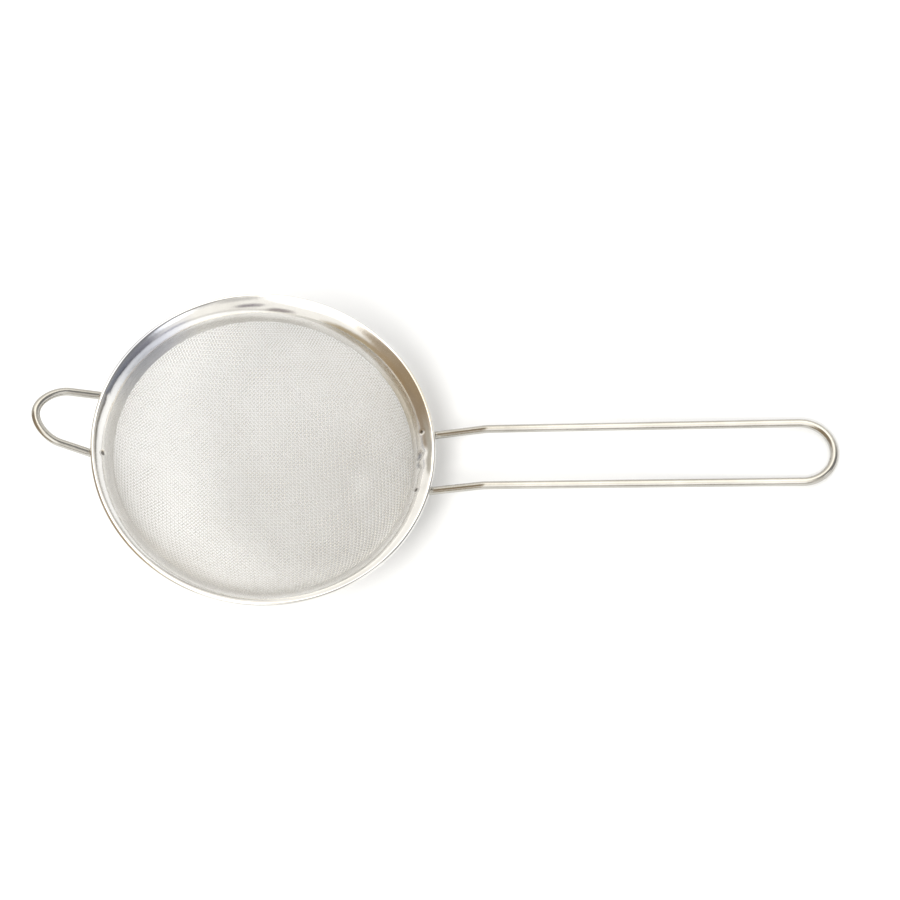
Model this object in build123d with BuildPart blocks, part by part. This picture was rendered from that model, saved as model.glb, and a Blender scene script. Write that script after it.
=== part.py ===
from build123d import *
from math import asin, atan2, cos, hypot, radians, sin, sqrt, tan
import os

# Tea strainer, standing on a table the way it rests when it is put down:
# on the round bottom of the bowl and on the tip of the handle.
# Z is up from the table, X runs along the handle, Y is the width.
# The origin is on the table, at the middle of the strainer's footprint.

# ---- rim ring: one sheet stamping with a closed hem and a turned-down lip ----
rim_radius = 40.0          # outside of the hem
sheet = 0.4                # steel sheet
hem_gap = 0.36             # space in the hem for the margin of the cloth
flange_slope = 31.5        # flange falls inwards by this angle at the hem
flange_curve = 7.5         # radius of the rounded flange, on the cloth line
hem_return = 3.4           # folded-under layer, along the flange
lip_slope = 76.0           # steepness of the lip and of the bowl at its mouth
lip_length = 0.8           # straight part of the lip

# ---- cloth bowl: steep round shoulder and a flatter base ----
shoulder_radius = 22.0     # on the cloth line
base_radius = 77.0         # on the cloth line
cloth = 0.3                # shell that stands for the woven cloth
margin_inset = 0.5         # cloth stops this far short of the hem centre

# ---- wires ----
wire = 1.9                 # diameter of the handle and loop wire
weld_gap = 0.1             # wire to flange, bridged by the welds
leg_half = 7.3             # half the distance between the legs at the rim
leg_end_slope = 55.0       # legs follow the flange in to where it falls this steeply
kink_at = 50.9             # handle bend, from the rim axis
handle_slope = 18.2        # handle beyond the bend, above the rim plane
handle_tip = 126.4         # wire centre at the end of the handle
kink_radius = 5.0
loop_tip = 52.3            # wire centre at the end of the rest loop
loop_half = 6.5            # half width of the rest loop near its end
loop_bend_at = 39.8        # where the loop leaves the line of its legs
loop_slope = 16.0          # rest loop beyond that bend
loop_bend_radius = 2.5

# ---- welds ----
weld_length = 2.0
weld_width = 1.5
weld_height = 0.5
weld_slope = 44.0          # steepness of the flange over the middle of each weld

# ---- derived: line of the cloth in the rim's own frame (r outwards, z up) ----
hem_outer = hem_gap / 2 + sheet
hem_r = rim_radius - hem_outer
hem_z = -hem_outer
fall = radians(flange_slope)
steep = radians(lip_slope)
curve_r = hem_r + flange_curve * sin(fall)
curve_z = hem_z - flange_curve * cos(fall)


def on_flange(slope, inwards=0.0):
    """Point of the rounded flange where it falls at this slope, or that far above it."""
    radius = flange_curve + inwards
    return curve_r - radius * sin(slope), curve_z + radius * cos(slope)


bend_end = on_flange(steep)
lip_end = (bend_end[0] - lip_length * cos(steep), bend_end[1] - lip_length * sin(steep))
shoulder_r = lip_end[0] - shoulder_radius * sin(steep)
shoulder_z = lip_end[1] + shoulder_radius * cos(steep)
base_slope = asin(shoulder_r / (base_radius - shoulder_radius))
base_z = shoulder_z + (base_radius - shoulder_radius) * cos(base_slope)

# ---- derived: wire centre line in the rim's own frame ----
# Each leg lies in the hollow under the flange, then leaves straight along the slope at the hem.
under = -(hem_outer + weld_gap + wire / 2)
leg_end = radians(leg_end_slope)
leg_curve = flange_curve + under


def leg_point(slope, along=0.0):
    """X and Z of a leg where the flange falls at this slope, or farther out along that slope."""
    r, z = on_flange(slope, under)
    return sqrt(r * r - leg_half * leg_half) + along * cos(slope), z + along * sin(slope)


leg_inner = leg_point(leg_end)
leg_outer = leg_point(fall)
leg_corner = leg_point(fall, -leg_curve * tan((leg_end - fall) / 2))


def leg_line(x):
    """Height of a leg's centre line at a distance from the rim axis, beyond the hollow."""
    return leg_outer[1] + (x - leg_outer[0]) * tan(fall)


kink_z = leg_line(kink_at)
handle_tip_z = kink_z + (handle_tip - kink_at) * tan(radians(handle_slope))
loop_bend_z = leg_line(loop_bend_at)
loop_tip_z = loop_bend_z + (loop_tip - loop_bend_at) * tan(radians(loop_slope))

# ---- derived: resting pose ----
# The bowl and the handle tip both touch the table, which fixes the tilt.
tip_rise = handle_tip_z - shoulder_z
tip_reach = handle_tip - shoulder_r
shoulder_out = shoulder_radius + cloth / 2
tilt = atan2(tip_rise, tip_reach) + asin((shoulder_out - wire / 2) / hypot(tip_rise, tip_reach))


def along(x, z):
    """World X of a point in the rim's middle plane, before centring."""
    return x * cos(tilt) + z * sin(tilt)


middle_x = (along(handle_tip, handle_tip_z) + along(-loop_tip, loop_tip_z)) / 2
mouth = Plane(
    origin=(-middle_x, 0, shoulder_out + shoulder_r * sin(tilt) - shoulder_z * cos(tilt)),
    x_dir=(cos(tilt), 0, -sin(tilt)),
    z_dir=(sin(tilt), 0, cos(tilt)),
)
section = Plane(mouth.origin, x_dir=mouth.x_dir, z_dir=-mouth.y_dir)
rim_axis = Axis(mouth.origin, mouth.z_dir)


def off_line(point, slope, distance):
    """Move a point of the cloth line square to a slope, towards the inside of the bowl."""
    return point[0] - distance * sin(slope), point[1] + distance * cos(slope)


# ---- rim ring ----
return_slope = fall + hem_return / flange_curve
hem_tip = (hem_r + hem_outer * cos(fall), hem_z + hem_outer * sin(fall))
gap_tip = (hem_r + hem_gap / 2 * cos(fall), hem_z + hem_gap / 2 * sin(fall))


def flange_arc(start, end, inwards):
    """Three points of the rounded flange, from one slope to another."""
    return [on_flange(slope, inwards) for slope in (start, (start + end) / 2, end)]


with BuildPart() as rim_ring:
    with BuildSketch(section):
        with BuildLine():
            skin = ThreePointArc(flange_arc(return_slope, fall, -hem_outer))
            fold = ThreePointArc(skin @ 1, hem_tip, on_flange(fall, hem_outer))
            top = ThreePointArc(flange_arc(fall, steep, hem_outer))
            lip = Line(top @ 1, off_line(lip_end, steep, hem_outer))
            edge = Line(lip @ 1, off_line(lip_end, steep, hem_gap / 2))
            back = Line(edge @ 1, on_flange(steep, hem_gap / 2))
            under_top = ThreePointArc(flange_arc(steep, fall, hem_gap / 2))
            inner_fold = ThreePointArc(under_top @ 1, gap_tip, on_flange(fall, -hem_gap / 2))
            over_return = ThreePointArc(flange_arc(fall, return_slope, -hem_gap / 2))
            Line(over_return @ 1, skin @ 0)
        make_face()
    revolve(axis=rim_axis)

# ---- cloth bowl, with its margin running up into the hem ----
margin_slope = fall + margin_inset / flange_curve


def bowl_arc(centre, radius, start, end):
    """Three points of a round part of the bowl, from one slope to another."""
    return [
        (centre[0] + radius * sin(slope), centre[1] - radius * cos(slope))
        for slope in (start, (start + end) / 2, end)
    ]


shoulder_centre = (shoulder_r, shoulder_z)
base_centre = (0, base_z)
half_cloth = cloth / 2

with BuildPart() as mesh_bowl:
    with BuildSketch(section):
        with BuildLine():
            base_out = ThreePointArc(
                bowl_arc(base_centre, base_radius + half_cloth, 0, base_slope)
            )
            side_out = ThreePointArc(
                bowl_arc(shoulder_centre, shoulder_out, base_slope, steep)
            )
            wall_out = Line(side_out @ 1, on_flange(steep, -half_cloth))
            margin_out = ThreePointArc(flange_arc(steep, margin_slope, -half_cloth))
            margin_edge = Line(margin_out @ 1, on_flange(margin_slope, half_cloth))
            margin_in = ThreePointArc(flange_arc(margin_slope, steep, half_cloth))
            wall_in = Line(margin_in @ 1, off_line(lip_end, steep, half_cloth))
            side_in = ThreePointArc(
                bowl_arc(shoulder_centre, shoulder_radius - half_cloth, steep, base_slope)
            )
            base_in = ThreePointArc(
                bowl_arc(base_centre, base_radius - half_cloth, base_slope, 0)
            )
            Line(base_in @ 1, base_out @ 0)
        make_face()
    revolve(axis=rim_axis)


# ---- wires: each one a round bar along a rounded path ----
def at(x, y, z):
    """World point of a point in the rim's own frame."""
    return mouth.from_local_coords((x, y, z))


handle_bow_x = handle_tip - leg_half * cos(radians(handle_slope))
handle_bow_z = handle_tip_z - leg_half * sin(radians(handle_slope))

with BuildPart() as handle_wire:
    with BuildLine() as handle_path:
        far_leg = FilletPolyline(
            at(leg_inner[0], leg_half, leg_inner[1]),
            at(leg_corner[0], leg_half, leg_corner[1]),
            at(kink_at, leg_half, kink_z),
            at(handle_bow_x, leg_half, handle_bow_z),
            radius=(leg_curve, kink_radius),
        )
        near_leg = FilletPolyline(
            at(leg_inner[0], -leg_half, leg_inner[1]),
            at(leg_corner[0], -leg_half, leg_corner[1]),
            at(kink_at, -leg_half, kink_z),
            at(handle_bow_x, -leg_half, handle_bow_z),
            radius=(leg_curve, kink_radius),
        )
        bow = ThreePointArc(far_leg @ 1, at(handle_tip, 0, handle_tip_z), near_leg @ 1)
    with BuildSketch(Plane(far_leg @ 0, z_dir=far_leg % 0)):
        Circle(wire / 2)
    sweep(path=handle_path.wire())

loop_tilt = radians(loop_slope)
loop_bow_x = loop_tip - loop_half * cos(loop_tilt)
loop_bow_z = loop_tip_z - loop_half * sin(loop_tilt)

with BuildPart() as rest_loop_wire:
    with BuildLine() as loop_path:
        far_side = FilletPolyline(
            at(-leg_inner[0], leg_half, leg_inner[1]),
            at(-leg_corner[0], leg_half, leg_corner[1]),
            at(-loop_bend_at, leg_half, loop_bend_z),
            at(-loop_bow_x, loop_half, loop_bow_z),
            radius=(leg_curve, loop_bend_radius),
        )
        near_side = FilletPolyline(
            at(-leg_inner[0], -leg_half, leg_inner[1]),
            at(-leg_corner[0], -leg_half, leg_corner[1]),
            at(-loop_bend_at, -leg_half, loop_bend_z),
            at(-loop_bow_x, -loop_half, loop_bow_z),
            radius=(leg_curve, loop_bend_radius),
        )
        Spline(
            far_side @ 1,
            at(-loop_tip, 0, loop_tip_z),
            near_side @ 1,
            tangents=(far_side % 1, (near_side % 1) * -1),
        )
    with BuildSketch(Plane(far_side @ 0, z_dir=far_side % 0)):
        Circle(wire / 2)
    sweep(path=loop_path.wire())

# ---- welds: metal that bridges each wire leg to the underside of the flange ----
weld_lean = radians(weld_slope)
weld_x, weld_z = leg_point(weld_lean)


def weld_place(side, half):
    """Plane on the top line of one leg, in the middle of its weld."""
    run = at(side * cos(weld_lean), 0, sin(weld_lean)) - at(0, 0, 0)
    up = at(-side * sin(weld_lean), 0, cos(weld_lean)) - at(0, 0, 0)
    centre = at(side * weld_x, half, weld_z) + up * (wire / 2)
    return Plane(centre, x_dir=run, z_dir=up)


with BuildPart() as handle_welds:
    with Locations(weld_place(1, leg_half), weld_place(1, -leg_half)):
        Box(weld_length, weld_width, weld_height)
    add(rim_ring.part, mode=Mode.SUBTRACT)
    add(handle_wire.part, mode=Mode.SUBTRACT)

with BuildPart() as rest_loop_welds:
    with Locations(weld_place(-1, leg_half), weld_place(-1, -leg_half)):
        Box(weld_length, weld_width, weld_height)
    add(rim_ring.part, mode=Mode.SUBTRACT)
    add(rest_loop_wire.part, mode=Mode.SUBTRACT)


# ---- names and files ----
rim_ring.part.label = "rim_ring"
mesh_bowl.part.label = "mesh_bowl"
handle_wire.part.label = "handle_wire"
rest_loop_wire.part.label = "rest_loop_wire"
handle_welds.part.label = "handle_welds"
rest_loop_welds.part.label = "rest_loop_welds"

os.makedirs("parts", exist_ok=True)
export_step(rim_ring.part, "parts/rim_ring.step")
export_step(mesh_bowl.part, "parts/mesh_bowl.step")
export_step(handle_wire.part, "parts/handle_wire.step")
export_step(rest_loop_wire.part, "parts/rest_loop_wire.step")
export_step(handle_welds.part, "parts/handle_welds.step")
export_step(rest_loop_welds.part, "parts/rest_loop_welds.step")
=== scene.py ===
import math
import bpy
import numpy as np
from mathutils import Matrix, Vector

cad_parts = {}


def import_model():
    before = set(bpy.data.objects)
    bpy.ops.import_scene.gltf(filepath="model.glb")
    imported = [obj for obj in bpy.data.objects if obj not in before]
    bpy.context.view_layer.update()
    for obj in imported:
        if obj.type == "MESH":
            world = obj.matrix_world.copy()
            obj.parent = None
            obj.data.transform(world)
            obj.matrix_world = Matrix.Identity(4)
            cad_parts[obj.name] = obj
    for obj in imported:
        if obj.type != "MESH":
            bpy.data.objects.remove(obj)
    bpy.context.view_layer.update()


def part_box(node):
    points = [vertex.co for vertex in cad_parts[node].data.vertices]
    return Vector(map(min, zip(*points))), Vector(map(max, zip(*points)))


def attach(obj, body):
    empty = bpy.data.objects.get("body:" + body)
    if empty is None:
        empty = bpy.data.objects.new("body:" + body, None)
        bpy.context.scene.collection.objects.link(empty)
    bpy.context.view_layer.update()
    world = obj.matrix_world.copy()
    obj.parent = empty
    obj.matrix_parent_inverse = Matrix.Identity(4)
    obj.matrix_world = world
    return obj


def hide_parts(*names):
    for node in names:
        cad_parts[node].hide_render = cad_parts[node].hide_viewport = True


# Tea strainer: a real woven cloth, a folded steel rim, and two bent wires with their welds.
# Shapes are worked out in millimetres in the rim's own frame (x along the handle, z out of
# the mouth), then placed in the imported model's frame in metres.

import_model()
rng = np.random.default_rng(41)
MM = 0.001

rim_low, rim_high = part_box("rim_ring")
RIM_R = (rim_high.y - rim_low.y) / 2 / MM

# ---- dimensions, mm ----
SHEET = 0.4
HEM_GAP = 0.36
FALL = math.radians(31.5)
FLANGE_CURVE = 7.5
HEM_RETURN = 3.4
STEEP = math.radians(76)
LIP = 0.8
SHOULDER = 22.0
BASE = 77.0
MARGIN_INSET = 0.5
CLOTH = 0.3
WIRE = 1.9
WELD_GAP = 0.1
LEG_HALF = 7.3
LEG_END = math.radians(55)
KINK_AT = 50.9
HANDLE_RISE = math.radians(18.2)
HANDLE_TIP = 126.4
KINK_RADIUS = 5.0
LOOP_TIP = 52.3
LOOP_HALF = 6.5
LOOP_BEND_AT = 39.8
LOOP_RISE = math.radians(16)
LOOP_BEND_RADIUS = 2.5
WELD_LEAN = math.radians(44)
PITCH = 0.705
STRAND = 0.19

HEM_OUT = HEM_GAP / 2 + SHEET
HEM_R = RIM_R - HEM_OUT
HEM_Z = -HEM_OUT
CURVE_R = HEM_R + FLANGE_CURVE * math.sin(FALL)
CURVE_Z = HEM_Z - FLANGE_CURVE * math.cos(FALL)


def on_flange(slope, inwards=0.0):
    """Point of the rounded flange's cloth line where it falls at this slope, or that far above it."""
    radius = FLANGE_CURVE + inwards
    return np.array((CURVE_R - radius * np.sin(slope), CURVE_Z + radius * np.cos(slope)))


BEND_END = on_flange(STEEP)
LIP_END = BEND_END - LIP * np.array((math.cos(STEEP), math.sin(STEEP)))
SHOULDER_R = LIP_END[0] - SHOULDER * math.sin(STEEP)
SHOULDER_Z = LIP_END[1] + SHOULDER * math.cos(STEEP)
BASE_SLOPE = math.asin(SHOULDER_R / (BASE - SHOULDER))
BASE_Z = SHOULDER_Z + (BASE - SHOULDER) * math.cos(BASE_SLOPE)

# ---- centre line of the wires' legs ----
UNDER = -(HEM_OUT + WELD_GAP + WIRE / 2)
LEG_CURVE = FLANGE_CURVE + UNDER


def leg_point(slope, along=0.0):
    r, z = on_flange(slope, UNDER)
    return np.array((math.sqrt(r * r - LEG_HALF ** 2) + along * math.cos(slope),
                     z + along * math.sin(slope)))


LEG_INNER = leg_point(LEG_END)
LEG_OUTER = leg_point(FALL)
LEG_CORNER = leg_point(FALL, -LEG_CURVE * math.tan((LEG_END - FALL) / 2))


def leg_line(x):
    return LEG_OUTER[1] + (x - LEG_OUTER[0]) * math.tan(FALL)


KINK_Z = leg_line(KINK_AT)
TIP_Z = KINK_Z + (HANDLE_TIP - KINK_AT) * math.tan(HANDLE_RISE)
LOOP_BEND_Z = leg_line(LOOP_BEND_AT)
LOOP_TIP_Z = LOOP_BEND_Z + (LOOP_TIP - LOOP_BEND_AT) * math.tan(LOOP_RISE)

# ---- the rim's own frame: the strainer stands on its bowl and on the tip of its handle ----
RISE, REACH = TIP_Z - SHOULDER_Z, HANDLE_TIP - SHOULDER_R
SHOULDER_OUT = SHOULDER + CLOTH / 2
TILT = math.atan2(RISE, REACH) + math.asin((SHOULDER_OUT - WIRE / 2) / math.hypot(RISE, REACH))
X_DIR = np.array((math.cos(TILT), 0, -math.sin(TILT)))
Y_DIR = np.array((0.0, 1.0, 0.0))
Z_DIR = np.array((math.sin(TILT), 0, math.cos(TILT)))
TO_WORLD = np.stack((X_DIR, Y_DIR, Z_DIR))
bowl_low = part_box("mesh_bowl")[0]
tip_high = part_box("handle_wire")[1]
ORIGIN = np.array((
    tip_high.x / MM - WIRE / 2 - (HANDLE_TIP * X_DIR[0] + TIP_Z * Z_DIR[0]),
    0.0,
    bowl_low.z / MM + SHOULDER_OUT + SHOULDER_R * math.sin(TILT) - SHOULDER_Z * math.cos(TILT),
))


def world(points):
    """Rim-frame millimetres to the model's metres."""
    return (np.asarray(points, float) @ TO_WORLD + ORIGIN) * MM


# ---------------------------------------------------------------- line of the cloth
CRIMP = STRAND / 2 - 0.005
CLOTH_LIFT = STRAND / 2 + CRIMP - CLOTH / 2
PER_PITCH = 4
SIDES = 5
NET_TURN = math.radians(52.5)
# how far a wire strays along its length, and as a whole, mm
WANDER = 0.012
STRAY = 0.008


def cloth_line():
    """Dense table of the cloth's middle line: radius, height, slope and length from the middle."""
    parts = []
    slope = np.linspace(0, BASE_SLOPE, 200)
    parts.append(((BASE - CLOTH_LIFT) * np.sin(slope),
                  BASE_Z - (BASE - CLOTH_LIFT) * np.cos(slope), slope))
    slope = np.linspace(BASE_SLOPE, STEEP, 400)[1:]
    parts.append((SHOULDER_R + (SHOULDER - CLOTH_LIFT) * np.sin(slope),
                  SHOULDER_Z - (SHOULDER - CLOTH_LIFT) * np.cos(slope), slope))
    slope = np.linspace(STEEP, FALL + MARGIN_INSET / FLANGE_CURVE, 200)
    lift = np.linspace(CLOTH_LIFT, 0, 200)
    r, z = on_flange(slope, lift)
    parts.append((r, z, slope))
    r, z, slope = (np.concatenate(rows) for rows in zip(*parts))
    run = np.concatenate(((0,), np.cumsum(np.hypot(np.diff(r), np.diff(z)))))
    return r, z, slope, run


LINE_R, LINE_Z, LINE_SLOPE, LINE_RUN = cloth_line()
# half the wires of one family, and the cells their phase is counted in
NET_HALF = int(LINE_RUN[-1] / PITCH) + 2
NET_CELLS = 2 * NET_HALF + 2


# ---------------------------------------------------------------- meshes
def make_mesh(name, verts, quads, caps=(), uvs=None):
    """One mesh object from arrays: quads (n, 4), caps as lists of vertex numbers."""
    mesh = bpy.data.meshes.new(name)
    loops = np.asarray(quads, np.int32).ravel()
    starts = np.arange(len(quads), dtype=np.int32) * 4
    totals = np.full(len(quads), 4, np.int32)
    for cap in caps:
        starts = np.append(starts, len(loops)).astype(np.int32)
        totals = np.append(totals, len(cap)).astype(np.int32)
        loops = np.concatenate((loops, np.asarray(cap, np.int32)))
    mesh.vertices.add(len(verts))
    mesh.vertices.foreach_set("co", np.asarray(verts, np.float32).ravel())
    mesh.loops.add(len(loops))
    mesh.loops.foreach_set("vertex_index", loops)
    mesh.polygons.add(len(starts))
    mesh.polygons.foreach_set("loop_start", starts)
    mesh.polygons.foreach_set("loop_total", totals)
    mesh.update(calc_edges=True)
    mesh.validate()
    mesh.polygons.foreach_set("use_smooth", np.ones(len(mesh.polygons), bool))
    if uvs is not None:
        layer = mesh.uv_layers.new(name="OFBake")
        layer.data.foreach_set("uv", np.asarray(uvs, np.float32).ravel())
    obj = bpy.data.objects.new(name, mesh)
    bpy.context.scene.collection.objects.link(obj)
    return obj


def finish_piece(obj, material, nodes=()):
    obj.data.materials.append(material)
    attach(obj, "root")
    if nodes:
        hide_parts(*nodes)
    return obj


# ---------------------------------------------------------------- materials
def node_tree(name):
    material = bpy.data.materials.new(name)
    material.use_nodes = True
    tree = material.node_tree
    tree.nodes.clear()
    out = tree.nodes.new("ShaderNodeOutputMaterial")
    shader = tree.nodes.new("ShaderNodeBsdfPrincipled")
    tree.links.new(shader.outputs[0], out.inputs[0])
    return material, tree, shader


def add_noise(tree, coords, scale, detail, stretch=(1, 1, 1), rough=0.55):
    mapping = tree.nodes.new("ShaderNodeMapping")
    mapping.inputs["Scale"].default_value = stretch
    noise = tree.nodes.new("ShaderNodeTexNoise")
    noise.inputs["Scale"].default_value = scale
    noise.inputs["Detail"].default_value = detail
    noise.inputs["Roughness"].default_value = rough
    tree.links.new(coords, mapping.inputs["Vector"])
    tree.links.new(mapping.outputs[0], noise.inputs["Vector"])
    return noise.outputs["Fac"]


def add_range(tree, value, low, high, to_low, to_high):
    node = tree.nodes.new("ShaderNodeMapRange")
    node.inputs["From Min"].default_value = low
    node.inputs["From Max"].default_value = high
    node.inputs["To Min"].default_value = to_low
    node.inputs["To Max"].default_value = to_high
    tree.links.new(value, node.inputs["Value"])
    return node.outputs["Result"]


def add_ramp(tree, value, stops):
    ramp = tree.nodes.new("ShaderNodeValToRGB")
    ramp.color_ramp.elements[0].position = stops[0][0]
    ramp.color_ramp.elements[0].color = (*stops[0][1], 1)
    ramp.color_ramp.elements[1].position = stops[-1][0]
    ramp.color_ramp.elements[1].color = (*stops[-1][1], 1)
    for position, colour in stops[1:-1]:
        ramp.color_ramp.elements.new(position).color = (*colour, 1)
    tree.links.new(value, ramp.inputs[0])
    return ramp.outputs["Color"]


def add_math(tree, kind, a, b):
    node = tree.nodes.new("ShaderNodeMath")
    node.operation = kind
    for socket, value in zip(node.inputs, (a, b)):
        if isinstance(value, (int, float)):
            socket.default_value = value
        else:
            tree.links.new(value, socket)
    return node.outputs[0]


def blend_colour(tree, colour, factor, tint, kind="MULTIPLY"):
    """Colour multiplied by a tint, or replaced by it, where the factor is one."""
    mix = tree.nodes.new("ShaderNodeMix")
    mix.data_type = "RGBA"
    mix.blend_type = kind
    tree.links.new(factor, mix.inputs["Factor"])
    if isinstance(colour, tuple):
        mix.inputs[6].default_value = (*colour, 1)
    else:
        tree.links.new(colour, mix.inputs[6])
    mix.inputs[7].default_value = (*tint, 1)
    return mix.outputs[2]


def dim(tree, colour, value):
    """Colour scaled by a value."""
    scale = tree.nodes.new("ShaderNodeVectorMath")
    scale.operation = "SCALE"
    tree.links.new(colour, scale.inputs[0])
    tree.links.new(value, scale.inputs["Scale"])
    return scale.outputs[0]


def steel(name, dark, light, rough_low, rough_high, scratch_stretch, bump, ripple,
          knuckles=None, marks=()):
    """Stainless steel: soft stains, polishing lines, and fine scratches.
    knuckles: painted highlight and painted shade on the woven wire: how bright it is painted where it
    dives and where it crosses on top.
    marks: place, clear radius and colour of spots: burns at the welds, and painted shade and painted
    reflections."""
    material, tree, shader = node_tree(name)
    coords = tree.nodes.new("ShaderNodeTexCoord")
    place = coords.outputs["Object"]
    uv = coords.outputs["UV"]
    stain = add_noise(tree, place, 90, 5)
    colour = add_ramp(tree, stain, ((0.32, dark), (0.62, light)))
    # painted highlight where the wire crosses on top, painted shade where it dives
    if knuckles:
        low, high, sign = knuckles
        across = tree.nodes.new("ShaderNodeSeparateXYZ")
        tree.links.new(uv, across.inputs[0])
        turn = add_math(tree, "MULTIPLY", across.outputs["X"], math.pi * NET_CELLS)
        phase = add_math(tree, "MULTIPLY", add_math(tree, "COSINE", turn, 0.0), sign)
        colour = dim(tree, colour, add_range(tree, phase, -0.4, 0.9, low, high))
    for spot, clear, soft, tint in marks:
        near = tree.nodes.new("ShaderNodeVectorMath")
        near.operation = "DISTANCE"
        near.inputs[1].default_value = spot
        tree.links.new(place, near.inputs[0])
        fade = add_range(tree, near.outputs["Value"], clear, clear + soft, 1.0, 0.0)
        colour = blend_colour(tree, colour, fade, tint)
    tree.links.new(colour, shader.inputs["Base Color"])
    shader.inputs["Metallic"].default_value = 1.0
    lines = add_noise(tree, uv, 1, 6, scratch_stretch, 0.7)
    cloud = add_noise(tree, place, 260, 4)
    blend = add_math(tree, "ADD", add_math(tree, "MULTIPLY", lines, 0.6),
                     add_math(tree, "MULTIPLY", cloud, 0.4))
    tree.links.new(add_range(tree, blend, 0.35, 0.65, rough_low, rough_high),
                   shader.inputs["Roughness"])
    wave = add_noise(tree, place, ripple, 2)
    height = add_math(tree, "ADD", add_math(tree, "MULTIPLY", lines, 0.25), wave)
    node = tree.nodes.new("ShaderNodeBump")
    node.inputs["Strength"].default_value = bump
    node.inputs["Distance"].default_value = 0.0002
    tree.links.new(height, node.inputs["Height"])
    tree.links.new(node.outputs[0], shader.inputs["Normal"])
    return material


# Marks of the welding electrodes, painted shade in the knock on the inner edge, and painted
# reflections tinted into the sheet: rim-frame place (mm), clear radius, soft edge, tint.
BURNS_AND_PAINTED_LIGHT = (
    ((-36.56, -7.11, -1.75), 0.4, 0.3, (0.25, 0.24, 0.23)),
    ((36.38, 7.73, -1.82), 0.3, 0.3, (0.3, 0.29, 0.28)),
    ((35.98, -7.32, -2.42), 0.35, 0.3, (0.25, 0.24, 0.23)),
    # painted shade: darker spots in the knock on the inner edge, between the handle welds
    ((36.2, 1.8, -3.15), 0.5, 0.8, (0.45, 0.46, 0.50)),
    ((35.8, -0.6, -3.3), 0.3, 0.8, (0.55, 0.56, 0.60)),
    # painted reflections of the room: blue-grey on the loop side of the far rim, brown on the handle
    # side
    ((-34.0, 17.0, -2.5), 3.0, 9.0, (0.66, 0.68, 0.74)),
    ((-28.0, 24.5, -3.0), 2.0, 8.0, (0.80, 0.82, 0.90)),
    ((33.0, 17.5, -3.0), 5.0, 9.0, (0.86, 0.80, 0.70)),
)
rim_steel = steel(
    "rim_steel", (0.79, 0.78, 0.76), (0.87, 0.865, 0.85), 0.07, 0.18, (900, 60, 1), 0.12, 300,
    marks=[(tuple(world(spot)), clear * MM, soft * MM, tint) for spot, clear, soft, tint in BURNS_AND_PAINTED_LIGHT])
wire_steel = steel("wire_steel", (0.47, 0.455, 0.42), (0.57, 0.555, 0.52),
                   0.10, 0.22, (500, 12, 1), 0.10, 900)
# Warp and weft are the same wire: the weft is a darker, shaded copy, painted shade beside the warp's
# painted highlights
cloth_steel = (
    steel("warp_steel", (0.93, 0.92, 0.89), (0.99, 0.985, 0.97), 0.20, 0.34, (200, 40, 1), 0.1, 1500,
          knuckles=(0.68, 1.06, 1)),
    steel("weft_steel", (0.88, 0.86, 0.83), (0.94, 0.93, 0.90), 0.28, 0.42, (200, 40, 1), 0.1, 1500,
          knuckles=(0.66, 0.88, -1)),
)
weld_steel = steel("weld_steel", (0.10, 0.08, 0.07), (0.45, 0.40, 0.34),
                   0.35, 0.6, (30, 30, 1), 0.6, 1800)


# ---------------------------------------------------------------- woven cloth
def weave_net():
    """Crossings of the wires: cloth with a fixed pitch both ways, pressed into the bowl.
    Each new crossing is one pitch from two neighbours that are already in place."""
    count = NET_HALF
    net = np.full((2 * count + 1, 2 * count + 1, 3), np.nan)
    rise = np.tan(LINE_SLOPE)
    for k in range(-count, count + 1):
        run = abs(k) * PITCH
        if run > LINE_RUN[-1]:
            continue
        r = math.copysign(np.interp(run, LINE_RUN, LINE_R), k)
        z = np.interp(run, LINE_RUN, LINE_Z)
        for heading, cell in ((NET_TURN, (count + k, count)),
                              (NET_TURN + math.pi / 2, (count, count + k))):
            net[cell] = (r * math.cos(heading), r * math.sin(heading), z)
    for total in range(2, 2 * count + 1):
        i = np.arange(max(1, total - count), min(count, total - 1) + 1)
        j = total - i
        for si, sj in ((1, 1), (1, -1), (-1, 1), (-1, -1)):
            gi, gj = count + si * i, count + sj * j
            a, b, c = net[gi - si, gj], net[gi, gj - sj], net[gi - si, gj - sj]
            p = a + b - c
            for _ in range(6):
                r = np.hypot(p[:, 0], p[:, 1]) + 1e-9
                p[:, 2] = np.interp(r, LINE_R, LINE_Z)
                slope = np.interp(r, LINE_R, rise) / r
                gx, gy = slope * p[:, 0], slope * p[:, 1]
                da, db = p - a, p - b
                fa = (da ** 2).sum(1) - PITCH ** 2
                fb = (db ** 2).sum(1) - PITCH ** 2
                ax, ay = 2 * (da[:, 0] + da[:, 2] * gx), 2 * (da[:, 1] + da[:, 2] * gy)
                bx, by = 2 * (db[:, 0] + db[:, 2] * gx), 2 * (db[:, 1] + db[:, 2] * gy)
                det = ax * by - ay * bx
                p[:, 0] -= (by * fa - ay * fb) / det
                p[:, 1] -= (ax * fb - bx * fa) / det
            r = np.hypot(p[:, 0], p[:, 1])
            p[:, 2] = np.interp(r, LINE_R, LINE_Z)
            step = np.linalg.norm(p - c, axis=1)
            p[~((r < LINE_R[-1]) & (step > 0.3 * PITCH) & (step < 2 * PITCH))] = np.nan
            net[gi, gj] = p
    return net


def smooth_random(length, knots):
    """A gentle random line of values about zero."""
    values = rng.normal(0, 1, knots + 3)
    t = np.linspace(0, knots, length)
    k = t.astype(int).clip(0, knots - 1)
    f = t - k
    f = f * f * (3 - 2 * f)
    return values[k] * (1 - f) + values[k + 1] * f


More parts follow.
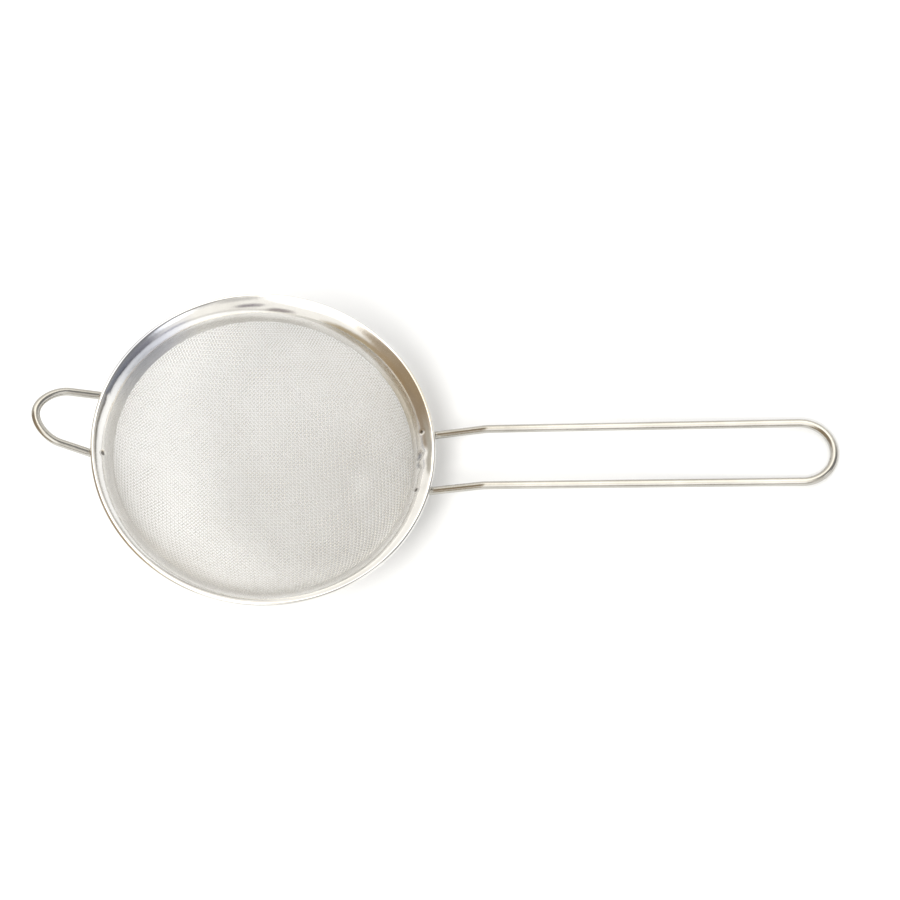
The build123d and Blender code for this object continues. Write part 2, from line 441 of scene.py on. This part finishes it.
# Hollows and swellings pressed into the cloth: place (x, y), size and depth, mm.
DENTS = (
    (19, -13, 6, -0.35), (-29, 15, 5, -0.3), (-23, -19, 5, -0.4), (25, 10, 6, 0.2),
    (-9, -3, 11, -0.1), (8, 22, 6, -0.2), (-4, -25, 6, 0.2), (-14, 21, 7, 0.15),
)


def press(x, y):
    height = np.zeros_like(x)
    for cx, cy, size, depth in DENTS:
        height += depth * np.exp(-((x - cx) ** 2 + (y - cy) ** 2) / (2 * size ** 2))
    return height


def strand_tubes(net, count, family):
    """Every wire of one family as a tube, an array of rings."""
    tubes = []
    for line in range(2 * count + 1):
        row = net[:, line] if family == 0 else net[line, :]
        good = np.flatnonzero(~np.isnan(row[:, 0]))
        if len(good) < 3:
            continue
        middle = good[np.argmin(np.abs(good - count))]
        first = last = middle
        while first - 1 >= 0 and not np.isnan(row[first - 1, 0]):
            first -= 1
        while last + 1 < len(row) and not np.isnan(row[last + 1, 0]):
            last += 1
        if last - first < 3:
            continue
        samples = (last - first) * PER_PITCH + 1
        t = np.linspace(first, last, samples)
        k = np.minimum(t.astype(int), last - 1)
        f = (t - k)[:, None]
        path = row[k] * (1 - f) + row[k + 1] * f
        along = np.gradient(path[:, :2], axis=0)
        along /= np.linalg.norm(along, axis=1, keepdims=True)
        wander = (smooth_random(samples, max(2, samples // 70)) * WANDER
                  + rng.normal(0, STRAY))
        x = path[:, 0] - along[:, 1] * wander
        y = path[:, 1] + along[:, 0] * wander
        r = np.hypot(x, y)
        flat = np.stack((x, y), 1) / r[:, None]
        z = np.interp(r, LINE_R, LINE_Z)
        slope = np.interp(r, LINE_R, LINE_SLOPE)
        normal = np.stack((-np.sin(slope) * flat[:, 0], -np.sin(slope) * flat[:, 1],
                           np.cos(slope)), 1)
        centre = np.stack((x, y, z), 1)
        sign = 1 if family == 0 else -1
        crimp = CRIMP * sign * np.cos(math.pi * (t + line))
        # no dents at the rim, and no hollows where the bowl stands
        dent = press(x, y) * np.clip((LIP_END[0] - 2 - r) / 6, 0, 1)
        sole = np.clip(np.hypot(x - SOLE_X, y) / 9 - 0.5, 0, 1)
        dent = np.where(dent < 0, dent * sole, dent)
        centre = centre + normal * (crimp + dent)[:, None]
        along = np.gradient(centre, axis=0)
        along /= np.linalg.norm(along, axis=1, keepdims=True)
        side = np.cross(along, normal)
        side /= np.linalg.norm(side, axis=1, keepdims=True)
        up = np.cross(side, along)
        ring = np.arange(SIDES) * 2 * math.pi / SIDES
        parity = line % 2
        tubes.append((centre[:, None]
                      + (STRAND / 2) * (np.cos(ring)[None, :, None] * up[:, None]
                                        + np.sin(ring)[None, :, None] * side[:, None]),
                      (first + parity) / NET_CELLS, (last + parity) / NET_CELLS))
    return tubes


def tube_faces(count, sides, start):
    ring = np.arange(sides)
    nxt = (ring + 1) % sides
    base = start + np.arange(count - 1)[:, None] * sides
    return np.stack((base + ring, base + nxt, base + sides + nxt, base + sides + ring), 2)


def tube_uvs(count, sides, low, high, start=0.0, end=1.0):
    u = np.linspace(start, end, count)
    v = np.linspace(low, high, sides + 1)
    a, b = u[:-1, None], u[1:, None]
    c, d = v[None, :-1], v[None, 1:]
    one = np.ones((count - 1, sides))
    return np.stack((
        np.stack((a * one, c * one), 2), np.stack((a * one, d * one), 2),
        np.stack((b * one, d * one), 2), np.stack((b * one, c * one), 2),
    ), 2)


def capped_uvs(count, sides):
    """Map of one tube with two caps, the caps as single points."""
    return np.concatenate((tube_uvs(count, sides, 0, 0.98).reshape(-1, 2),
                           np.full((2 * sides, 2), 0.99)))


def cloth_piece(name, tubes):
    verts, quads, caps, uvs = [], [], [], []
    start = 0
    for number, (tube, first, last) in enumerate(tubes):
        count = len(tube)
        verts.append(world(tube.reshape(-1, 3)))
        quads.append(tube_faces(count, SIDES, start).reshape(-1, 4))
        strip = 1 / len(tubes)
        uvs.append(tube_uvs(count, SIDES, number * strip, (number + 0.9) * strip,
                            first, last).reshape(-1, 2))
        caps.append(np.arange(start, start + SIDES)[::-1])
        caps.append(np.arange(start + (count - 1) * SIDES, start + count * SIDES))
        start += count * SIDES
    cap_uv = np.zeros((len(caps) * SIDES, 2))
    obj = make_mesh(name, np.concatenate(verts), np.concatenate(quads), caps,
                    np.concatenate((np.concatenate(uvs), cap_uv)))
    return obj


SOLE_X = SHOULDER_R + SHOULDER * math.sin(TILT)
net = weave_net()
PIECE_QUADS = 92000
for family, label in ((0, "warp"), (1, "weft")):
    tubes = strand_tubes(net, NET_HALF, family)
    group, size = [], 0
    groups = []
    for tube in tubes:
        quads = len(tube[0]) * SIDES
        if size + quads > PIECE_QUADS:
            groups.append(group)
            group, size = [], 0
        group.append(tube)
        size += quads
    groups.append(group)
    for part, group in enumerate(groups, 1):
        piece = cloth_piece(f"cloth_{label}_{part}", group)
        finish_piece(piece, cloth_steel[family], ("mesh_bowl",))


# ---------------------------------------------------------------- rim ring
def square_off(point, slope, distance):
    return point + distance * np.array((-math.sin(slope), math.cos(slope)))


def rim_profile():
    """Closed outline of the folded sheet, from the hem's raw edge round the outside."""
    outer, inner = HEM_OUT, HEM_GAP / 2
    hem = np.array((HEM_R, HEM_Z))
    back = FALL + HEM_RETURN / FLANGE_CURVE

    def flange(start, end, inwards, count):
        return on_flange(np.linspace(start, end, count), inwards).T

    def fold(radius, start, end, count):
        angle = np.linspace(start, end, count)
        return hem + radius * np.stack((np.cos(angle), np.sin(angle)), 1)

    lip_top = square_off(LIP_END, STEEP, outer)
    lip_under = square_off(LIP_END, STEEP, inner)
    turn = np.linspace(0, math.pi, 7)[1:-1]
    middle, half = (lip_top + lip_under) / 2, (outer - inner) / 2
    to_top = (lip_top - middle) / half
    down = -np.array((math.cos(STEEP), math.sin(STEEP)))
    edge = np.stack([middle + half * (math.cos(t) * to_top + math.sin(t) * down * 0.6)
                     for t in turn])
    return np.concatenate((
        flange(back, FALL, -outer, 12),
        fold(outer, FALL - math.pi / 2, FALL + math.pi / 2, 15)[1:-1],
        flange(FALL, STEEP, outer, 34),
        edge_run(square_off(BEND_END, STEEP, outer), lip_top, 5)[1:],
        edge,
        edge_run(lip_under, square_off(BEND_END, STEEP, inner), 5)[:-1],
        flange(STEEP, FALL, inner, 16),
        fold(inner, FALL + math.pi / 2, FALL - math.pi / 2, 9)[1:-1],
        flange(FALL, back, -inner, 10),
    ))


def edge_run(a, b, count):
    t = np.linspace(0, 1, count)[:, None]
    return a * (1 - t) + b * t


RIM_TURNS = 900
# waves in the flange: how many round the rim, height (mm), phase
WAVES = ((3, 0.05, 0.4), (5, 0.03, 1.9), (8, 0.02, 4.0), (13, 0.012, 2.2), (21, 0.008, 0.9))
# pits and knocks: place on the rim (x, y), size and depth, mm
PITS = (
    (-36.56, -7.11, 0.5, 0.16), (-37.4, 7.3, 0.9, 0.05), (36.38, 7.73, 0.45, 0.15),
    (35.98, -7.32, 0.45, 0.15), (36.0, 2.06, 0.9, 0.35), (36.9, 3.4, 1.8, 0.12),
    (37.2, -3.0, 2.0, 0.10), (36.0, -1.2, 1.2, 0.2),
)


def build_rim():
    outline = rim_profile()
    count = len(outline)
    turns = RIM_TURNS
    angle = np.arange(turns) * 2 * math.pi / turns
    r = outline[None, :, 0] * np.ones((turns, 1))
    z = outline[None, :, 1] * np.ones((turns, 1))
    # hand-worked sheet: the flange is never quite true
    wave = sum(a * np.sin(n * angle + p) for n, a, p in WAVES)
    depth = np.clip((HEM_R - outline[:, 0]) / 3.5, 0, 1)
    z += wave[:, None] * depth[None, :]
    r += 0.4 * np.roll(wave, 140)[:, None] * depth[None, :]
    # marks of the welding electrodes over the legs, and a knock on the inner edge
    x = r * np.cos(angle)[:, None]
    y = r * np.sin(angle)[:, None]
    lean = np.arctan2(CURVE_R - outline[:, 0], outline[:, 1] - CURVE_Z)[None, :]
    for px, py, size, depth in PITS:
        gap = ((x - px) ** 2 + (y - py) ** 2) / size ** 2
        sink = depth * np.exp(-gap)
        x += sink * np.sin(lean) * np.cos(angle)[:, None]
        y += sink * np.sin(lean) * np.sin(angle)[:, None]
        z -= sink * np.cos(lean)
    verts = np.stack((x, y, z), 2).reshape(-1, 3)
    ring = np.arange(turns)
    along = np.arange(count)
    a = ring[:, None] * count + along
    b = ring[:, None] * count + (along + 1) % count
    c = ((ring[:, None] + 1) % turns) * count + (along + 1) % count
    d = ((ring[:, None] + 1) % turns) * count + along
    quads = np.stack((a, d, c, b), 2).reshape(-1, 4)
    seam = np.linspace(0, 1, turns + 1)
    steps = np.diff(np.vstack((outline, outline[:1])), axis=0)
    run = np.concatenate(((0,), np.cumsum(np.hypot(*steps.T))))
    run = run / run[-1]
    one = np.ones((turns, count))
    u0, u1 = seam[:-1, None] * one, seam[1:, None] * one
    v0, v1 = run[None, :-1] * one, run[None, 1:] * one
    uvs = np.stack((np.stack((u0, v0), 2), np.stack((u1, v0), 2),
                    np.stack((u1, v1), 2), np.stack((u0, v1), 2)), 2).reshape(-1, 2)
    return make_mesh("rim", world(verts), quads, (), uvs)


finish_piece(build_rim(), rim_steel, ("rim_ring",))


# ---------------------------------------------------------------- bent wires
def rounded_path(points, radii, spacing=0.5, arc_count=14):
    """Points along straight runs whose corners are rounded."""
    points = [np.asarray(p, float) for p in points]
    path = [points[0]]
    for before, corner, after, radius in zip(points, points[1:], points[2:], radii):
        u = (before - corner) / np.linalg.norm(before - corner)
        v = (after - corner) / np.linalg.norm(after - corner)
        half = math.acos(np.clip(np.dot(u, v), -1, 1)) / 2
        start, end = corner + u * radius / math.tan(half), corner + v * radius / math.tan(half)
        centre = corner + (u + v) / np.linalg.norm(u + v) * radius / math.sin(half)
        e1 = (start - centre) / radius
        sweep = math.pi - 2 * half
        e2 = (end - centre) / radius - e1 * math.cos(sweep)
        e2 /= np.linalg.norm(e2)
        run = np.linalg.norm(start - path[-1])
        for k in range(1, max(1, int(run / spacing))):
            path.append(path[-1] + (start - path[-1]) / (max(1, int(run / spacing)) - k + 1))
        for angle in np.linspace(0, sweep, arc_count):
            point = centre + radius * (math.cos(angle) * e1 + math.sin(angle) * e2)
            if np.linalg.norm(point - path[-1]) > 0.05:
                path.append(point)
    last = points[-1]
    steps = max(1, int(np.linalg.norm(last - path[-1]) / spacing))
    for k in range(steps):
        path.append(path[-1] + (last - path[-1]) / (steps - k))
    return np.array(path)


CHAMFER = 0.12
END_SIZE = 0.82
WIRE_SIDES = 28


def wire_tube(name, path, sides=WIRE_SIDES):
    """Round wire along a path, its cut ends slightly chamfered."""
    path = np.asarray(path, float)
    along = np.gradient(path, axis=0)
    along /= np.linalg.norm(along, axis=1, keepdims=True)
    normal = np.tile(np.array((0, 0, 1.0)), (len(path), 1))
    side = np.cross(along, normal)
    side /= np.linalg.norm(side, axis=1, keepdims=True)
    up = np.cross(side, along)
    ring = np.arange(sides) * 2 * math.pi / sides
    shape = np.cos(ring)[None, :, None] * up[:, None] + np.sin(ring)[None, :, None] * side[:, None]
    tube = path[:, None] + WIRE / 2 * shape
    ends = []
    for index, sign in ((0, -1), (-1, 1)):
        ends.append(path[index] + sign * CHAMFER * along[index]
                    + END_SIZE * WIRE / 2 * shape[index])
    tube = np.concatenate((ends[0][None], tube, ends[1][None]))
    count = len(tube)
    quads = tube_faces(count, sides, 0).reshape(-1, 4)
    caps = [np.arange(sides)[::-1], np.arange((count - 1) * sides, count * sides)]
    uvs = capped_uvs(count, sides)
    return make_mesh(name, world(tube.reshape(-1, 3)), quads, caps, uvs)


bow_x = HANDLE_TIP - LEG_HALF * math.cos(HANDLE_RISE)
bow_z = TIP_Z - LEG_HALF * math.sin(HANDLE_RISE)
far = rounded_path(
    ((LEG_INNER[0], LEG_HALF, LEG_INNER[1]), (LEG_CORNER[0], LEG_HALF, LEG_CORNER[1]),
     (KINK_AT, LEG_HALF, KINK_Z), (bow_x, LEG_HALF, bow_z)), (LEG_CURVE, KINK_RADIUS))
bow_angle = np.linspace(math.pi / 2, -math.pi / 2, 49)[1:-1]
bow = np.stack((
    bow_x + LEG_HALF * np.cos(bow_angle) * math.cos(HANDLE_RISE),
    LEG_HALF * np.sin(bow_angle),
    bow_z + LEG_HALF * np.cos(bow_angle) * math.sin(HANDLE_RISE),
), 1)
near = (far * (1, -1, 1))[::-1]
handle = wire_tube("handle", np.concatenate((far, bow, near)))
finish_piece(handle, wire_steel, ("handle_wire",))

loop_bow_x = LOOP_TIP - LOOP_HALF * math.cos(LOOP_RISE)
loop_bow_z = LOOP_TIP_Z - LOOP_HALF * math.sin(LOOP_RISE)
far = rounded_path(
    ((-LEG_INNER[0], LEG_HALF, LEG_INNER[1]), (-LEG_CORNER[0], LEG_HALF, LEG_CORNER[1]),
     (-LOOP_BEND_AT, LEG_HALF, LOOP_BEND_Z), (-loop_bow_x, LOOP_HALF, loop_bow_z)),
    (LEG_CURVE, LOOP_BEND_RADIUS), spacing=0.3)


def crown(start, tip, end, start_way, end_way, count=30):
    """Smooth curve through three points that leaves and arrives in the directions given."""
    start, tip, end, start_way, end_way = (
        np.asarray(p, float) for p in (start, tip, end, start_way, end_way))
    span = np.linalg.norm(tip - start)
    middle = (3 * (end - start) / span - start_way - end_way) / 4
    t = np.linspace(0, 1, count)[:, None]

    def piece(a, b, ma, mb):
        return ((2 * t ** 3 - 3 * t ** 2 + 1) * a + (t ** 3 - 2 * t ** 2 + t) * span * ma
                + (3 * t ** 2 - 2 * t ** 3) * b + (t ** 3 - t ** 2) * span * mb)

    return np.concatenate((piece(start, tip, start_way, middle),
                           piece(tip, end, middle, end_way)[1:]))


way = (far[-1] - far[-2]) / np.linalg.norm(far[-1] - far[-2])
bow = crown(far[-1], (-LOOP_TIP, 0, LOOP_TIP_Z), far[-1] * (1, -1, 1), way, way * (-1, 1, -1))
loop = wire_tube("rest_loop", np.concatenate((far, bow[1:-1], (far * (1, -1, 1))[::-1])))
finish_piece(loop, wire_steel, ("rest_loop_wire",))


# ---------------------------------------------------------------- welds
def weld_bead(name, side, half):
    """A melted bead that runs along the top of a leg and up onto the flange."""
    rings, sides = 18, 22
    u = np.linspace(0.04, math.pi - 0.04, rings)[:, None]
    v = (np.arange(sides) * 2 * math.pi / sides)[None, :]
    lump = 1 + 0.10 * np.sin(3 * v + 2 * u + half) + 0.08 * np.sin(5 * u + side) * np.cos(2 * v)
    run = 1.15 * np.cos(u) * np.ones_like(v)
    wide = 0.86 * np.sin(u) ** 0.7 * np.cos(v) * lump
    high = 0.34 * np.sin(u) ** 0.7 * np.sin(v) * lump
    way_run = np.array((side * math.cos(WELD_LEAN), 0, math.sin(WELD_LEAN)))
    way_up = np.array((-side * math.sin(WELD_LEAN), 0, math.cos(WELD_LEAN)))
    weld_x, weld_z = leg_point(WELD_LEAN)
    centre = np.array((side * weld_x, half, weld_z)) + way_up * (WIRE / 2 - 0.05)
    points = (centre + run[..., None] * way_run + wide[..., None] * Y_DIR
              + high[..., None] * way_up)
    quads = tube_faces(rings, sides, 0).reshape(-1, 4)
    caps = [np.arange(sides)[::-1], np.arange((rings - 1) * sides, rings * sides)]
    uvs = capped_uvs(rings, sides)
    return make_mesh(name, world(points.reshape(-1, 3)), quads, caps, uvs)


for side, node in ((1, "handle_welds"), (-1, "rest_loop_welds")):
    for half, where in ((LEG_HALF, "far"), (-LEG_HALF, "near")):
        label = "handle" if side == 1 else "loop"
        finish_piece(weld_bead(f"weld_{label}_{where}", side, half), weld_steel, (node,))


# ---------------------------------------------------------------- studio
def plain_material(name, colour, rough):
    material, tree, shader = node_tree(name)
    shader.inputs["Base Color"].default_value = (*colour, 1)
    shader.inputs["Roughness"].default_value = rough
    shader.inputs["Specular IOR Level"].default_value = 0.2
    return material


floor_mesh = bpy.data.meshes.new("floor")
floor_mesh.from_pydata([(-6, -6, 0), (6, -6, 0), (6, 6, 0), (-6, 6, 0)], [], [(0, 1, 2, 3)])
floor = bpy.data.objects.new("floor", floor_mesh)
bpy.context.scene.collection.objects.link(floor)
floor.data.materials.append(plain_material("floor_paper", (0.93, 0.93, 0.925), 0.7))

world_data = bpy.data.worlds.new("studio")
world_data.use_nodes = True
background = world_data.node_tree.nodes["Background"]
background.inputs["Color"].default_value = (1.0, 0.995, 0.985, 1)
background.inputs["Strength"].default_value = 0.92
bpy.context.scene.world = world_data

KEY_PLACE = Vector((-0.08, -0.52, 0.85)) * 1.2
light = bpy.data.lights.new("key", "AREA")
light.shape = "DISK"
light.size = 0.6
light.energy = 7.5
light.color = (1.0, 0.99, 0.97)
key = bpy.data.objects.new("key", light)
bpy.context.scene.collection.objects.link(key)
key.location = KEY_PLACE
key.rotation_euler = (Vector((0, 0, 0)) - key.location).to_track_quat("-Z", "Y").to_euler()
key.visible_camera = False
key.visible_glossy = False

# What the polished metal mirrors: a room drawn on a far dome, in directions (azimuth, height).
# Base colour, then patches: azimuth, height, radius in degrees, softness, colour.
ROOM_BASE = (1.08, 1.05, 0.99)
ROOM = (
    (0, 90, 42, 0.25, (1.75, 1.68, 1.55)),
    (42, 60, 24, 0.4, (2.3, 2.22, 2.06)),
    (4, 38, 26, 0.4, (0.34, 0.335, 0.33)),
    (165, 74, 14, 0.3, (0.50, 0.42, 0.33)),
    (-172, 45, 26, 0.25, (0.39, 0.32, 0.245)),
    (-174, 8, 16, 0.3, (0.41, 0.335, 0.26)),
    (-148, 58, 18, 0.3, (0.43, 0.345, 0.245)),
    (-148, 22, 22, 0.3, (0.43, 0.33, 0.215)),
    (-126, 18, 15, 0.3, (0.46, 0.37, 0.235)),
    (152, 45, 10, 0.4, (0.51, 0.475, 0.41)),
    (158, 0, 8, 0.4, (0.37, 0.33, 0.30)),
    (-78, 48, 14, 0.3, (1.9, 1.9, 1.9)),
    (-64, 16, 6, 0.4, (0.30, 0.27, 0.29)),
    (-86, 8, 7, 0.4, (0.40, 0.36, 0.35)),
    (-20, 24, 8, 0.3, (1.7, 1.7, 1.7)),
    (-45, 37, 7, 0.5, (0.68, 0.66, 0.63)),
    (-28, 0, 6, 0.5, (0.78, 0.78, 0.85)),
    (-5, 6, 11, 0.4, (0.385, 0.375, 0.40)),
    (10, 4, 11, 0.4, (0.275, 0.285, 0.325)),
    (27, 2, 10, 0.4, (0.485, 0.46, 0.41)),
)
dome_mesh = bpy.data.meshes.new("dome")
dome_turns, dome_rings, dome_radius, dome_foot = 64, 20, 3, -4
dome_verts = []
for ring in range(dome_rings):
    height = math.radians(dome_foot + (90 - dome_foot) * ring / dome_rings)
    for turn in range(dome_turns):
        heading = 2 * math.pi * turn / dome_turns
        dome_verts.append((
            dome_radius * math.cos(height) * math.cos(heading),
            dome_radius * math.cos(height) * math.sin(heading),
            dome_radius * math.sin(height),
        ))
dome_verts.append((0, 0, dome_radius))
dome_faces = []
for ring in range(dome_rings - 1):
    for turn in range(dome_turns):
        nxt = (turn + 1) % dome_turns
        dome_faces.append((ring * dome_turns + turn, ring * dome_turns + nxt,
                           (ring + 1) * dome_turns + nxt, (ring + 1) * dome_turns + turn))
for turn in range(dome_turns):
    dome_faces.append(((dome_rings - 1) * dome_turns + turn,
                       (dome_rings - 1) * dome_turns + (turn + 1) % dome_turns,
                       dome_rings * dome_turns))
dome_mesh.from_pydata(dome_verts, [], dome_faces)
dome = bpy.data.objects.new("dome", dome_mesh)
bpy.context.scene.collection.objects.link(dome)
room = bpy.data.materials.new("room")
room.use_nodes = True
tree = room.node_tree
tree.nodes.clear()
room_out = tree.nodes.new("ShaderNodeOutputMaterial")
glow = tree.nodes.new("ShaderNodeEmission")
tree.links.new(glow.outputs[0], room_out.inputs[0])
place = tree.nodes.new("ShaderNodeTexCoord").outputs["Object"]
unit = tree.nodes.new("ShaderNodeVectorMath")
unit.operation = "NORMALIZE"
tree.links.new(place, unit.inputs[0])
colour = ROOM_BASE
for azimuth, height, radius, soft, tint in ROOM:
    a, h = math.radians(azimuth), math.radians(height)
    dot = tree.nodes.new("ShaderNodeVectorMath")
    dot.operation = "DOT_PRODUCT"
    dot.inputs[1].default_value = (math.cos(h) * math.cos(a), math.cos(h) * math.sin(a), math.sin(h))
    tree.links.new(unit.outputs[0], dot.inputs[0])
    mask = tree.nodes.new("ShaderNodeMapRange")
    mask.interpolation_type = "SMOOTHSTEP"
    mask.inputs["From Min"].default_value = math.cos(math.radians(radius * (1 + soft)))
    mask.inputs["From Max"].default_value = math.cos(math.radians(radius * (1 - soft)))
    tree.links.new(dot.outputs["Value"], mask.inputs["Value"])
    colour = blend_colour(tree, colour, mask.outputs[0], tint, "MIX")
# the far edge of the table: a darker band low all round, darkest behind the strainer
split = tree.nodes.new("ShaderNodeSeparateXYZ")
tree.links.new(unit.outputs[0], split.inputs[0])
low = add_range(tree, split.outputs["Z"], 0.05, 0.13, 1.0, 0.0)
behind = add_range(tree, split.outputs["Y"], -0.3, 0.3, 0.35, 0.8)
colour = blend_colour(tree, colour, add_math(tree, "MULTIPLY", low, behind), (0.22, 0.20, 0.18))
tree.links.new(colour, glow.inputs["Color"])
room.cycles.emission_sampling = "NONE"
dome.data.materials.append(room)
for ray in ("visible_camera", "visible_diffuse", "visible_transmission", "visible_shadow",
            "visible_volume_scatter"):
    setattr(dome, ray, False)

# ---------------------------------------------------------------- camera
camera_data = bpy.data.cameras.new("camera")
camera_data.sensor_width = 36
camera_data.lens = 47.306
camera_data.clip_start = 0.01
camera = bpy.data.objects.new("camera", camera_data)
bpy.context.scene.collection.objects.link(camera)
camera.location = (0.0757228, -0.1148291, 0.2567843)
camera.rotation_euler = tuple(math.radians(a) for a in (25.38381, 15.99627, 3.00354))
bpy.context.scene.camera = camera
bpy.context.scene.view_settings.view_transform = "Standard"
